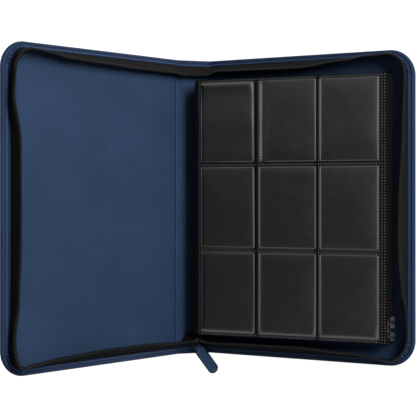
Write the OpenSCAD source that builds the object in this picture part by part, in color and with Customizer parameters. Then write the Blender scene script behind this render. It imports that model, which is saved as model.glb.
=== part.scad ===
// Zip-round trading card binder, open: the back cover lies flat, the spine and the front cover lean up
// to the left, and twenty leaves of side-loading card pockets lie on the back cover.
// Origin: centre of the back cover's underside. +X towards its free edge, +Y towards its top, +Z up.

/* [Covers] */
// Width of each cover, from its hinge axis to its free edge
cover_w = 250; // [225:0.5:300]
// Height of the covers and the spine
cover_h = 345; // [325:1:400]
// Radius of the two rounded corners at each free edge
corner_r = 29; // [18:1:45]
// Thickness of the leather-look outer skin
skin_t = 0.9; // [0.6:0.1:1.4]
// Thickness of the stiff board in each panel
board_t = 2; // [1.4:0.1:3]
// Thickness of the lining
lining_t = 0.6; // [0.4:0.1:1]
// Width of the skin's margin that is turned in over the lining
border_w = 8.4; // [6:0.1:10]

/* [Spine] */
// Distance between the two hinge axes
spine_w = 38; // [36:0.5:50]
// Angle of the spine above the back cover's plane
spine_tilt = 45; // [30:1:60]
// Further angle of the front cover from the spine's plane
cover_tilt = 28; // [15:1:40]

/* [Zipper] */
// Thickness of the zipper tape
tape_t = 0.6; // [0.4:0.1:0.8]
// Height of the tape that stands up from the lining, to the coil's middle
tape_h = 14; // [10:0.5:15.5]
// Width of the tape's sewn flange under the border
flange_w = 5; // [3:0.5:5.5]
// Diameter of the nylon coil
coil_d = 2.5; // [2:0.1:3]
// Distance of the closed chain's start from the lower end of the spine
chain_inset = 18; // [15:0.5:20]
// Length of the closed chain that stands on the spine
chain_l = 12; // [10:0.5:14]
// Spacing of the teeth along the closed chain
tooth_pitch = 1.6; // [1.4:0.1:2]

/* [Slider] */
// Length of the slider body along the chain
slider_l = 11; // [9:0.5:12]
// Width of the slider body across the chain
slider_w = 9.5; // [8:0.5:11]
// Thickness of each slider plate
plate_t = 1; // [0.8:0.1:1.2]
// Height of the slider's base above the spine's lining
slider_rest = 5; // [4:0.5:6]
// Diameter of the wire in the bridge and the pull ring
wire_d = 1.6; // [1.2:0.1:1.8]
// Running clearance round the chain and the wires
running_gap = 0.35; // [0.25:0.05:0.5]

/* [Pull tab] */
// Length of the leather tab
tab_l = 38; // [30:1:42]
// Width of the leather tab
tab_w = 12; // [10:0.5:13]
// Thickness of the leather tab
tab_t = 2.2; // [1.8:0.1:2.4]
// Width of the tab's neck, where it loops round the ring
neck_w = 6; // [5:0.5:7]
// Radius of the pull ring, to the middle of its wire
ring_r = 4.2; // [3.8:0.1:4.6]
// Angle of the pull ring from the slider's square-out line, towards the spine
ring_drop = 8; // [5:1:20]
// Angle of the tab round its ring, towards the back cover
tab_turn = 37; // [15:1:40]

/* [Leaves] */
// Number of leaves
leaf_count = 20; // [6:1:20]
// Pockets across a leaf, where the cover has room for as many
pocket_cols = 3; // [1:1:3]
// Pockets down a leaf, where the cover has room for as many
pocket_rows = 3; // [1:1:3]
// Width of one pocket, for a card 63.5 wide
pocket_w = 67; // [65:0.5:68]
// Height of one pocket, for a card 88.9 high
pocket_h = 91.7; // [90:0.1:93]
// Width of the weld strip between two columns
weld_w = 4; // [3:0.5:5]
// Height of the weld strip between two rows
weld_h = 5.8; // [4:0.2:6.5]
// Strip between a leaf's crease and its first pocket
crease_margin = 2.9; // [2:0.1:4]
// Strip along a leaf's free edge
edge_margin = 8.4; // [6:0.2:9]
// Strip along a leaf's top and bottom edges
end_margin = 3.3; // [2:0.1:5]
// Thickness of a leaf's middle sheet
core_t = 0.2; // [0.12:0.02:0.24]
// Height of a pocket's outer face above the middle sheet
pocket_rise = 0.14; // [0.1:0.01:0.16]
// Thickness of a pocket's film, over its slot
film_t = 0.06; // [0.05:0.01:0.08]
// Width of the weld along a pocket's three closed edges
pocket_seam = 1; // [0.8:0.1:1.5]
// Spacing of the leaves where they are bound
bound_pitch = 1.6; // [1.4:0.05:1.65]
// Spacing of the leaves at their free edges
free_pitch = 0.6; // [0.55:0.01:0.65]
// Step by which each lower leaf's crease lies further out
leaf_stagger = 0.28; // [0.26:0.01:0.32]
// Thickness of the binding block's back wall
binding_wall = 1.6; // [1:0.1:2]
// Thickness of the cloth tape round the binding block
cloth_t = 0.5; // [0.3:0.1:0.8]

/* [Hidden] */
$fn = 48;
leaf_names = [for (i = [1:leaf_count]) str("leaf_", i < 10 ? "0" : "", i)];

navy = [0.11, 0.19, 0.36];
lining_navy = [0.13, 0.2, 0.34];
black = [0.05, 0.05, 0.05];
board_grey = [0.55, 0.53, 0.5];
film_black = [0.13, 0.13, 0.14];
gunmetal = [0.2, 0.2, 0.21];

seat = 0.02;                                      // glue line between pieces that lie face to face
panel_t = skin_t + board_t + lining_t + 2 * seat; // thickness of a cover, outside to lining
rim_t = 2 * skin_t + board_t + tape_t + 3 * seat; // thickness of a cover at its turned-in border
roll_r = rim_t / 2;                               // radius of the rolled edge
hinge_roll_r = panel_t - 0.2;                     // outer radius of the soft roll at each hinge
hinge_clear = hinge_roll_r + 0.3;                 // from a hinge axis to the flat panel beside it
hinge_x = -cover_w / 2;
half_h = cover_h / 2;
board_z = skin_t + seat;
lining_z = panel_t - lining_t;
tape_d = border_w + 0.3;                          // standing tape's outer face, in from the edge
tape_in_d = tape_d + tape_t;                      // standing tape's inner face, in from the edge
flange_z = board_z + board_t + seat;
coil_z = panel_t + tape_h;                        // coil's axis above the underside
mitre_gap = 0.4;                                  // half the clearance between two mitred tapes

// ---- placing: each child is drawn flat, hinge axis at x = 0, outside at z = 0, free edge at +x ----
module on_back() { translate([hinge_x, 0, 0]) children(); }
module swung(angle) { translate([0, 0, panel_t]) rotate([0, angle, 0]) translate([0, 0, -panel_t]) children(); }
module on_spine() { on_back() swung(spine_tilt) children(); }
module on_front() { on_spine() translate([-spine_w, 0, 0]) swung(cover_tilt) mirror([1, 0, 0]) children(); }

// ---- covers ----
// Flat outline of a cover, drawn in from its three free edges by inset, and starting at x = from
module cover_outline(inset, from) {
    r = corner_r - inset;
    far = cover_w - inset;
    half = half_h - inset;
    translate([from, -half]) square([far - r - from, 2 * half]);
    translate([from, r - half]) square([far - from, 2 * (half - r)]);
    for (s = [-1, 1]) translate([far - r, s * (half - r)]) circle(r);
}

// Runs a section along +x: the section's x points to +y, its y to +z
module run_along_x(length) { rotate([90, 0, 90]) linear_extrude(length) children(); }

// Sweeps a section along a cover's three free edges: the section's x points inwards, its y up
module edge_sweep(from) {
    for (s = [0, 1]) mirror([0, s, 0]) {
        translate([from, -half_h, 0]) run_along_x(cover_w - corner_r - from) children();
        translate([cover_w - corner_r, corner_r - half_h, 0]) rotate([0, 0, -90]) rotate_extrude(angle = 90)
            translate([corner_r, 0]) mirror([1, 0]) children();
    }
    translate([cover_w, corner_r - half_h, 0]) rotate([0, 0, 90]) run_along_x(cover_h - 2 * corner_r) children();
}

// Section of the skin where it rolls round the edge and turns in over the lining
module rolled_section() {
    for (z = [0, rim_t - skin_t]) translate([roll_r, z]) square([border_w - roll_r, skin_t]);
    intersection() {
        difference() {
            translate([roll_r, roll_r]) circle(roll_r);
            translate([roll_r, roll_r]) circle(roll_r - skin_t);
        }
        square([roll_r, rim_t]);
    }
}

// Room for the soft roll that turns about the hinge axis
module hinge_room() {
    translate([0, half_h + 1, panel_t]) rotate([90, 0, 0]) cylinder(r = hinge_clear, h = cover_h + 2);
}

module outer_skin() {
    tip = 0.5;
    color(navy) difference() {
        union() {
            linear_extrude(skin_t) cover_outline(roll_r, tip);
            edge_sweep(hinge_clear - tip) rolled_section();
        }
        hinge_room();
    }
}

module board() {
    color(board_grey) translate([0, 0, board_z]) linear_extrude(board_t) cover_outline(roll_r, hinge_clear);
}

module lining() {
    color(lining_navy) translate([0, 0, lining_z]) linear_extrude(lining_t)
        cover_outline(tape_in_d + seat, hinge_clear);
}

// ---- zipper tapes and coils ----
module tape_section() {
    translate([tape_in_d - flange_w, flange_z]) square([flange_w, tape_t]);
    translate([tape_d, flange_z]) square([tape_t, coil_z - coil_d / 2 - flange_z]);
}

module coil_section() { translate([tape_d + tape_t / 2, coil_z]) circle(d = coil_d); }

// Cuts the standing part of a tape to a 45 degree mitre that meets its neighbour's when the binder closes
module mitre_cut() {
    top = tape_h + coil_d;
    translate([0, half_h + 1, panel_t]) rotate([90, 0, 0]) linear_extrude(cover_h + 2)
        polygon([[-top, 0], [mitre_gap, 0], [mitre_gap + top, top], [-top, top]]);
}

module zipper_tape() {
    color(black) difference() {
        edge_sweep(hinge_clear) tape_section();
        mitre_cut();
    }
}

module zipper_coil() {
    color(black) difference() {
        edge_sweep(hinge_clear) coil_section();
        mitre_cut();
    }
}

// ---- spine, drawn from x = -spine_w to x = 0 ----
flat_from = hinge_clear - spine_w;
flat_w = spine_w - 2 * hinge_clear;

// Half-round roll of skin that hides the hinge at x = 0
module hinge_roll() {
    translate([0, half_h - roll_r, panel_t]) rotate([90, 0, 0]) linear_extrude(cover_h - 2 * roll_r)
        difference() {
            circle(hinge_roll_r);
            circle(hinge_roll_r - skin_t);
            translate([-hinge_roll_r, 0]) square(2 * hinge_roll_r);
        }
}

module spine_outer_skin() {
    color(navy) on_spine() {
        translate([-spine_w, roll_r - half_h, 0]) cube([spine_w, cover_h - 2 * roll_r, skin_t]);
        for (s = [0, 1]) mirror([0, s, 0]) translate([flat_from, -half_h, 0]) run_along_x(flat_w) rolled_section();
        for (x = [-spine_w, 0]) translate([x, 0, 0]) hinge_roll();
    }
}

module spine_board() {
    color(board_grey) on_spine() translate([flat_from, roll_r - half_h, board_z])
        cube([flat_w, cover_h - 2 * roll_r, board_t]);
}

module spine_lining() {
    edge = tape_in_d + seat;
    color(lining_navy) on_spine() translate([flat_from, edge - half_h, lining_z])
        cube([flat_w, cover_h - 2 * edge, lining_t]);
}

module spine_top_tape() {
    color(black) on_spine() difference() {
        mirror([0, 1, 0]) translate([flat_from, -half_h, 0]) run_along_x(flat_w) tape_section();
        translate([-spine_w, 0, 0]) mitre_cut();
        mirror([1, 0, 0]) mitre_cut();
    }
}

// ---- zipper start at the spine's lower end: drawn with the chain along +z, the outside towards -y ----
chain_w = 2.6;
chain_t = 2;
tooth_l = 0.9;
tooth_w = chain_w * 3 / 4;
web_base = flat_w / 2 - 1;

module on_chain() { on_spine() translate([-spine_w / 2, chain_inset - half_h, panel_t + seat]) children(); }

module zipper_chain_start() {
    color(black) on_chain() {
        translate([-tape_t / 2, -tape_t / 2, 0]) cube([tape_t, tape_t, chain_l]);
        for (z = [0 : tooth_pitch : chain_l - tooth_l], side = [-1, 1])
            translate([side * chain_w / 8, 0, z + (side + 1) * tooth_pitch / 4]) coil_tooth();
    }
}

// One tooth of the coil, rounded front and back
module coil_tooth() {
    intersection() {
        translate([-tooth_w / 2, -chain_t / 2, 0]) cube([tooth_w, chain_t, tooth_l * 0.6]);
        cylinder(d = chain_w, h = tooth_l);
    }
}

module spine_bottom_gusset() {
    color(black) on_chain() for (s = [0, 1]) mirror([s, 0, 0]) translate([chain_w / 2 + seat, tape_t / 2, 0])
        rotate([90, 0, 0]) linear_extrude(tape_t) polygon([[0, 0], [web_base, 0], [web_base - 2, 2], [0, chain_l]]);
}

// ---- slider ----
cavity_t = chain_t + 2 * running_gap;
slot_t = tape_t + 2 * running_gap;
post_l = 3;
tail_w = slider_w * 0.66;
throat_w = 3;
throat_spread = 18;

module slider_outline() {
    nose = 1.6;
    polygon([[-tail_w / 2, 0], [tail_w / 2, 0], [slider_w / 2, slider_l * 0.6], [slider_w / 2, slider_l - nose],
        [slider_w / 2 - nose, slider_l], [nose - slider_w / 2, slider_l], [-slider_w / 2, slider_l - nose],
        [-slider_w / 2, slider_l * 0.6]]);
}

module on_slider() { on_chain() translate([0, 0, slider_rest]) children(); }

module slider_body() {
    body_t = cavity_t + 2 * plate_t;
    color(gunmetal) on_slider() difference() {
        translate([0, body_t / 2, 0]) rotate([90, 0, 0]) linear_extrude(body_t) slider_outline();
        translate([-slider_w, -slot_t / 2, -1]) cube([2 * slider_w, slot_t, slider_l - post_l + 1]);
        translate([-chain_w / 2 - running_gap, -cavity_t / 2, -1])
            cube([chain_w + 2 * running_gap, cavity_t, slider_l - post_l + 1]);
        for (s = [-1, 1]) translate([s * slider_w / 3, 0, slider_l]) rotate([0, s * throat_spread, 0])
            translate([-throat_w / 2, -cavity_t / 2, -post_l - 2]) cube([throat_w, cavity_t, post_l + 4]);
    }
}

bridge_r = 2.6;
ring_play = 0.3;
bridge_z = slider_l * 0.5;
bridge_y = -cavity_t / 2 - plate_t;

module slider_bridge() {
    color(gunmetal) on_slider() translate([0, bridge_y - seat, bridge_z]) rotate([0, 90, 0])
        rotate([0, 0, 180]) rotate_extrude(angle = 180) translate([bridge_r, 0]) circle(d = wire_d);
}

// ---- pull ring and leather tab: drawn hanging along -y from the wire that passes under the bridge ----
eye_y = bridge_y - seat - bridge_r + wire_d / 2 + 2 * running_gap + ring_play;

module on_ring() { on_slider() translate([0, eye_y, bridge_z]) rotate([ring_drop, 0, 0]) children(); }

module pull_ring() {
    color(gunmetal) on_ring() translate([0, -ring_r, 0]) rotate_extrude() translate([ring_r, 0]) circle(d = wire_d);
}

module pull_tab() {
    loop_hole = wire_d / 2 + running_gap + ring_r - sqrt(ring_r * ring_r - neck_w * neck_w / 4);
    loop_r = loop_hole + 0.9;
    flare_l = 7;
    tip_r = tab_w / 2;
    color(navy) on_ring() translate([0, -ring_r, 0]) rotate([0, 0, tab_turn])
        translate([0, running_gap - ring_r, 0]) difference() {
            union() {
                translate([-neck_w / 2, 0, 0]) rotate([0, 90, 0]) cylinder(r = loop_r, h = neck_w);
                translate([0, 0, -tab_t / 2]) linear_extrude(tab_t) {
                    polygon([[-neck_w / 2, 0], [neck_w / 2, 0], [neck_w / 2, -loop_r], [tab_w / 2, -loop_r - flare_l],
                        [tab_w / 2, tip_r - tab_l], [-tab_w / 2, tip_r - tab_l], [-tab_w / 2, -loop_r - flare_l],
                        [-neck_w / 2, -loop_r]]);
                    translate([0, tip_r - tab_l]) circle(tip_r);
                }
            }
            translate([-neck_w, 0, 0]) rotate([0, 90, 0]) cylinder(r = loop_hole, h = 2 * neck_w);
        }
}

// ---- leaves ----
leaf_t = core_t + 2 * pocket_rise;
cloth_x = 0.3;                                    // cloth's outer face, clear of the closed spine
wall_x = cloth_x + cloth_t + seat;
wall_z = panel_t + cloth_t + 2 * seat;
crease_gap = 0.3;                                 // bare sheet that bends between the block and a leaf
first_crease_x = wall_x + binding_wall + 0.6;
lowest_crease_z = wall_z + 1.2;
lowest_free_z = panel_t + leaf_t / 2 + 0.3;
tape_clear = 0.5;                                 // from the longest leaf's edges to the standing tapes
room_w = cover_w - tape_in_d - tape_clear - first_crease_x - (leaf_count - 1) * leaf_stagger;
room_h = cover_h - 2 * (tape_in_d + tape_clear);
cols = min(pocket_cols, floor((room_w - crease_margin - edge_margin + weld_w) / (pocket_w + weld_w)));
rows = min(pocket_rows, floor((room_h - 2 * end_margin + weld_h) / (pocket_h + weld_h)));
leaf_l = crease_margin + cols * (pocket_w + weld_w) - weld_w + edge_margin;
leaf_h = rows * (pocket_h + weld_h) - weld_h + 2 * end_margin;

function crease_x(i) = first_crease_x + (i - 1) * leaf_stagger;
function crease_z(i) = lowest_crease_z + (leaf_count - i) * bound_pitch;
function free_z(i) = lowest_free_z + (leaf_count - i) * free_pitch;
function leaf_slope(i) = asin((crease_z(i) - free_z(i)) / leaf_l);

// Places its child at the lower inner corner of every pocket
module at_pockets() {
    for (c = [0 : cols - 1], r = [0 : rows - 1])
        translate([crease_margin + c * (pocket_w + weld_w), end_margin - leaf_h / 2 + r * (pocket_h + weld_h), 0])
            children();
}

// One welded leaf, its crease at x = 0: a middle sheet with a raised film pocket on both faces. Each pocket is
// a thin slot between the film and the middle sheet, open towards the crease and welded on its other edges
module leaf_sheet() {
    round_r = 2;
    slot_h = pocket_rise - film_t;
    mouth = 0.5;
    difference() {
        union() {
            translate([0, 0, -core_t / 2]) linear_extrude(core_t) {
                translate([crease_gap, -leaf_h / 2]) square([leaf_l - round_r - crease_gap, leaf_h]);
                translate([crease_gap, round_r - leaf_h / 2]) square([leaf_l - crease_gap, leaf_h - 2 * round_r]);
                for (s = [-1, 1]) translate([leaf_l - round_r, s * (leaf_h / 2 - round_r)]) circle(round_r);
            }
            at_pockets() translate([0, 0, -leaf_t / 2]) cube([pocket_w, pocket_h, leaf_t]);
        }
        at_pockets() for (z = [core_t / 2, -core_t / 2 - slot_h]) translate([-mouth, pocket_seam, z])
            cube([pocket_w - pocket_seam + mouth, pocket_h - 2 * pocket_seam, slot_h]);
    }
}

module leaf(i) {
    color(film_black) on_back() translate([crease_x(i), 0, crease_z(i)]) rotate([0, leaf_slope(i), 0]) leaf_sheet();
}

// Back wall that holds the leaves' bound edges, with one stub of each leaf standing out of it
module binding_block() {
    wall_top = crease_z(1) + leaf_t / 2 + 0.5;
    color(black) on_back() {
        translate([wall_x, -leaf_h / 2, wall_z]) cube([binding_wall, leaf_h, wall_top - wall_z]);
        for (i = [1:leaf_count]) translate([wall_x, -leaf_h / 2, crease_z(i) - leaf_t / 2])
            cube([crease_x(i) - 0.1 - wall_x, leaf_h, leaf_t]);
    }
}

// Cloth tape that covers the block's back and fastens it to the back cover by a foot under the leaves
module binding_cloth() {
    foot_w = 24;
    back_h = crease_z(1) - panel_t;
    color(black) on_back() translate([cloth_x, -leaf_h / 2, panel_t + seat]) {
        cube([cloth_t, leaf_h, back_h]);
        cube([foot_w, leaf_h, cloth_t]);
    }
}

on_back() outer_skin();  // back_outer_skin
on_back() board();  // back_board
on_back() lining();  // back_lining
on_back() zipper_tape();  // back_zipper_tape
on_back() zipper_coil();  // back_zipper_coil
on_front() outer_skin();  // front_outer_skin
on_front() board();  // front_board
on_front() lining();  // front_lining
on_front() zipper_tape();  // front_zipper_tape
on_front() zipper_coil();  // front_zipper_coil
spine_outer_skin();
spine_board();
spine_lining();
spine_top_tape();
spine_bottom_gusset();
zipper_chain_start();
slider_body();
slider_bridge();
pull_ring();
pull_tab();
binding_block();
binding_cloth();
for (i = [1:leaf_count]) leaf(i);
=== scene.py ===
import math

import bmesh
import bpy
import numpy as np
from mathutils import Matrix, Vector


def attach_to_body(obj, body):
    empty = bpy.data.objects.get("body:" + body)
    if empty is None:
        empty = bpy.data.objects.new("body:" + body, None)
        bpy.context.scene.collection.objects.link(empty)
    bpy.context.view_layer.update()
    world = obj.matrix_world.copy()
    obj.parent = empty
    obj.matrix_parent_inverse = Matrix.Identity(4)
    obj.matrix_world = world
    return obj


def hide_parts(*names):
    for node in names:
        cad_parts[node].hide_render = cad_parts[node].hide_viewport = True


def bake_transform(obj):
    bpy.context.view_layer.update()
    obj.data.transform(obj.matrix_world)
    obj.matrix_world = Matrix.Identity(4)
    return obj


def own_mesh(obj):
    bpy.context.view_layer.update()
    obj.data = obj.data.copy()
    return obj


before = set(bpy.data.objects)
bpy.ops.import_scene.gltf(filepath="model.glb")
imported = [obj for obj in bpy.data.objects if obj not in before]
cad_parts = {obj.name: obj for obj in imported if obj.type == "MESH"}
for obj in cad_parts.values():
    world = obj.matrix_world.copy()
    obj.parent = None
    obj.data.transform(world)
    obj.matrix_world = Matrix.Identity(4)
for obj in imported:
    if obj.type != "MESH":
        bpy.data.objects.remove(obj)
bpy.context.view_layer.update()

# ---- sizes, in millimetres, as in the CAD
MM = 0.001
COVER_W, COVER_H, CORNER_R = 250.0, 345.0, 29.0
HALF_H = COVER_H / 2
SKIN_T, LINING_T, PANEL_T, RIM_T = 0.9, 0.6, 3.54, 4.46
ROLL_R = RIM_T / 2
SPINE_W, SPINE_TILT, COVER_TILT = 38.0, 45.0, 28.0
HINGE_X = -COVER_W / 2
MID = -SPINE_W / 2                 # the spine's middle, along the binder's section
FRONT_END = -SPINE_W - COVER_W     # the front cover's free edge, along the section
LEAF_COUNT, LEAF_L, LEAF_H = 20, 220.3, 293.3
POCKET_W, POCKET_H, WELD_W, WELD_H = 67.0, 91.7, 4.0, 5.8
COLUMN, ROW = POCKET_W + WELD_W, POCKET_H + WELD_H
CREASE_MARGIN, END_MARGIN, CORE_T, LEAF_T = 2.9, 3.3, 0.2, 0.48
DRAWN_BORDER = 7.5                 # the border's section is drawn this wide, then widened to where it lies
END_BORDER = 6.9                   # the turned-in border along the top and bottom edges
STITCH, STITCH_PITCH = 3.2, 4.2
SEAT, CHAIN_INSET, SLIDER_REST, SLIDER_L, WIRE_D, RUNNING_GAP = 0.02, 18.0, 5.0, 11.0, 1.6, 0.35
BRIDGE_R, PLATE_T, CHAIN_T, RING_PLAY = 2.6, 1.0, 2.0, 0.3
RING_R, RING_DROP, TAB_TURN, TAB_L, TAB_W = 4.2, 8.0, 37.0, 38.0, 12.0
COIL_R, COIL_PITCH, COIL_WIRE_R = 1.15, 1.6, 0.42


# ---- points and curves
def grid(*xyz):
    """Points from coordinates that broadcast together."""
    return np.stack(np.broadcast_arrays(*xyz), -1)


def unit(v):
    return v / np.linalg.norm(v, axis=-1, keepdims=True)


def square(v, axis):
    """Direction of the part of v that is square to the unit vector axis."""
    return unit(v - axis * (v * axis).sum(-1)[..., None])


def smooth(x):
    x = np.clip(x, 0, 1)
    return x * x * (3 - 2 * x)


def bell(x, middle, width):
    return np.exp(-((x - middle) / width) ** 2)


def arch(x):
    """Half a wave, up from 0 at x = 0 and back at x = 1."""
    return np.sin(math.pi * np.clip(x, 0, 1))


def keyed(keys, s):
    """Smooth curves through (position, value...) keys."""
    keys = np.asarray(keys, float)
    i = np.clip(np.searchsorted(keys[:, 0], s) - 1, 0, len(keys) - 2)
    a, b = keys[i].T, keys[i + 1].T
    return a[1:] + (b[1:] - a[1:]) * smooth((s - a[0]) / (b[0] - a[0]))


def turned(p, degrees):
    """Points turned about the line along y through x = 0 at the lining's level."""
    a = math.radians(degrees)
    x, z = p[..., 0], p[..., 2] - PANEL_T
    return grid(x * math.cos(a) + z * math.sin(a), p[..., 1], PANEL_T - x * math.sin(a) + z * math.cos(a))


def place(p):
    """(t, y, h) in millimetres to the row frame in metres. t runs along the binder's section: the back cover at
    t > 0, the spine down to -SPINE_W, the front cover beyond. h is the height above the outside. Both hinges are
    soft bends, which widen with the height above the lining."""
    t, y, h = np.moveaxis(np.asarray(p, float), -1, 0)
    soft = np.minimum(4.0 + 0.72 * np.maximum(h - PANEL_T, 0), 17)

    def bend(s, angle):
        """Section coordinates after a bend of that angle at s = 0; s is negative beyond it."""
        half = math.radians(angle) / 2
        r = soft / math.tan(half) - (h - PANEL_T)
        a = (soft - s) / (2 * soft) * 2 * half
        straight = grid(s, y, h)
        inside = grid(soft - r * np.sin(a), y, PANEL_T + soft / math.tan(half) - r * np.cos(a))
        before, beyond = (s >= soft)[..., None], (s <= -soft)[..., None]
        return np.where(before, straight, np.where(beyond, turned(straight, angle), inside))

    front = bend(t + SPINE_W, COVER_TILT)
    front[..., 0] -= SPINE_W
    out = np.where((t < MID)[..., None], turned(front, SPINE_TILT), bend(t, SPINE_TILT))
    out[..., 0] += HINGE_X
    return out * MM


# ---- what a piece rides on
SIDES = {"back": ("back_cover", "spine"), "front": ("spine", "front_cover")}    # the bodies at each hinge


def attach(piece, slot, *bodies, nodes=(), reach=4.0, h=0.0):
    """The piece rides on one body. Between two bodies it rides on neither: its place is baked into its mesh, and the
    points within reach of their hinge at height h are worked out but not used. The nodes are the CAD nodes that it
    stands for."""
    if len(bodies) == 1:
        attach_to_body(piece, *bodies)
    else:
        hinge = 0 if "back_cover" in bodies else -SPINE_W
        start, end = place([[hinge + reach, 0, h], [hinge - reach, 0, h]])
        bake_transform(piece)
    if nodes:
        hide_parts(*nodes)


# ---- meshes
def add_object(name, data):
    ob = bpy.data.objects.new(name, data)
    bpy.context.scene.collection.objects.link(ob)
    return ob


def make(name, points, faces, materials, uv=None, sharp=38):
    me = bpy.data.meshes.new(name)
    me.from_pydata(points.reshape(-1, 3).tolist(), [], faces)
    if uv is not None:
        index = np.empty(len(me.loops), int)
        me.loops.foreach_get("vertex_index", index)
        me.uv_layers.new(name="UVMap").data.foreach_set("uv", uv.reshape(-1, 2)[index].ravel())
    bm = bmesh.new()
    bm.from_mesh(me)
    bmesh.ops.recalc_face_normals(bm, faces=bm.faces)
    bm.to_mesh(me)
    bm.free()
    me.polygons.foreach_set("use_smooth", [True] * len(me.polygons))
    me.set_sharp_from_angle(angle=math.radians(sharp))
    for material in materials:
        me.materials.append(material)
    return add_object(name, me)


def paint(ob, slots, rest=0):
    """Material slots of the first faces, and of the rest."""
    every = np.full(len(ob.data.polygons), rest)
    every[:len(slots)] = slots
    ob.data.polygons.foreach_set("material_index", every)


def ring_faces(n, m, closed=True):
    """Faces of n stations of m points each, with both ends capped."""
    faces = []
    for a in range(0, (n - 1) * m, m):
        for j in range(m if closed else m - 1):
            k = (j + 1) % m
            faces.append((a + j, a + k, a + m + k, a + m + j))
    return faces + [tuple(range(m)), tuple(reversed(range((n - 1) * m, n * m)))]


def sheet_faces(a, b):
    """Faces of a sheet with a x b points above, then as many below: cell by cell above and below, then the rim."""
    top, low = np.arange(2 * a * b).reshape(2, a, b).tolist()
    faces = []
    for i in range(a - 1):
        for j in range(b - 1):
            faces.append((top[i][j], top[i][j + 1], top[i + 1][j + 1], top[i + 1][j]))
            faces.append((low[i][j], low[i + 1][j], low[i + 1][j + 1], low[i][j + 1]))
    rim = [(i, 0) for i in range(a)] + [(a - 1, j) for j in range(1, b)]
    rim += [(i, b - 1) for i in range(a - 2, -1, -1)] + [(0, j) for j in range(b - 2, 0, -1)]
    return faces + [(top[i][j], top[k][l], low[k][l], low[i][j]) for (i, j), (k, l) in zip(rim, rim[1:] + rim[:1])]


class Parts:
    """Several closed shells gathered into one mesh."""

    def __init__(self):
        self.points, self.faces, self.count = [], [], 0

    def add(self, points, faces):
        points = np.asarray(points, float).reshape(-1, 3)
        self.points.append(points)
        self.faces += [tuple(self.count + v for v in f) for f in faces]
        self.count += len(points)

    def add_stitches(self, starts, ends, radius, up=1):
        """Short rounded rods from each start to each end, a little flat towards up."""
        w = np.arange(6)[:, None] * 2 * math.pi / 6
        for a, b in zip(starts, ends):
            along = unit(b - a)
            side = unit(np.cross(along, [0, 0, up]))
            lift = np.cross(side, along)
            rod = [a + (b - a) * f + lift * radius * 0.35 * math.sin(math.pi * f)
                   + r * radius * (side * np.cos(w) + lift * 0.75 * np.sin(w))
                   for f, r in ((0.0, 0.45), (0.06, 0.85), (0.22, 1.0), (0.78, 1.0), (0.94, 0.85), (1.0, 0.45))]
            self.add(rod, ring_faces(len(rod), len(w)))

    def make(self, name, material, put=np.asarray):
        return make(name, put(np.concatenate(self.points)), self.faces, material, uv=np.zeros((self.count, 2)))


# ---- the path round both covers
ARC = math.pi / 2 * CORNER_R
FLAT = COVER_W - CORNER_R
LINE = HALF_H - CORNER_R
FRONT_FLAT = -SPINE_W - FLAT
LEGS = [FLAT - MID, ARC, COVER_H - 2 * CORNER_R, ARC]
MARKS = np.concatenate([[0], np.cumsum(LEGS + [2 * (FLAT - MID)] + LEGS[::-1])])      # ends of the legs
TOTAL = MARKS[-1]
TOP_MID = (MARKS[4] + MARKS[5]) / 2
STRAIGHTS = [(MID, -HALF_H, 1, 0), (COVER_W, -LINE, 0, 1), (FLAT, HALF_H, -1, 0), (FRONT_END, LINE, 0, -1),
             (FRONT_FLAT, -HALF_H, 1, 0)]                                             # start and direction
CENTRES = [(FLAT, -LINE), (FLAT, LINE), (FRONT_FLAT, LINE), (FRONT_FLAT, -LINE)]


def station(s):
    """(t, y) on the covers' outline and the inward direction, at path length s. It starts at the middle of the
    spine's lower end and runs round the back cover, over the spine's upper end and round the front cover."""
    p, n = np.zeros(s.shape + (2,)), np.zeros(s.shape + (2,))
    for leg in range(9):
        on = (s >= MARKS[leg]) & (s <= MARKS[leg + 1])
        q = s[on] - MARKS[leg]
        if leg % 2:
            a = (leg // 2 - 1) * math.pi / 2 + q / CORNER_R
            out = grid(np.cos(a), np.sin(a))
            p[on], n[on] = CENTRES[leg // 2] + CORNER_R * out, -out
        else:
            x, y, dx, dy = STRAIGHTS[leg // 2]
            p[on], n[on] = grid(x + dx * q, y + dy * q), (-dy, dx)
    return p, n


def stations(start, end, fine, coarse):
    """Path lengths from start to end, closer together round the corners and near the hinges."""
    cuts = [start]
    while cuts[-1] < end - 1e-6:
        s = cuts[-1]
        leg = min(int(np.searchsorted(MARKS, s + 1e-9)) - 1, 8)
        step = fine if leg % 2 else coarse
        t = station(np.array([s]))[0][0][0]
        if leg in (0, 4, 8) and -SPINE_W - 24 < t < 24:
            step = min(step, 1.5)
        cuts.append(min([m for m in [*MARKS, end] if m > s + 1e-6] + [s + step]))
    return np.array(cuts)


def at_t(t, edge):
    """Path length at section position t, on the top or bottom edge."""
    if edge == "top":
        return MARKS[4] + FLAT - t
    return t - MID if t > MID else MARKS[8] + t - FRONT_FLAT


DRAWN = [ROLL_R, 3.0, 4.35, 6.1, DRAWN_BORDER]     # roll, outer ridge, stitched groove, inner ridge, inner edge
AT_ENDS = [ROLL_R, 2.4, 3.4, 5.4, END_BORDER]
AT_BACK = [ROLL_R, 3.0, 5.0, 6.9, 8.9]
AT_FRONT = [ROLL_R, 3.0, 4.5, 5.9, 11.7]


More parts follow.
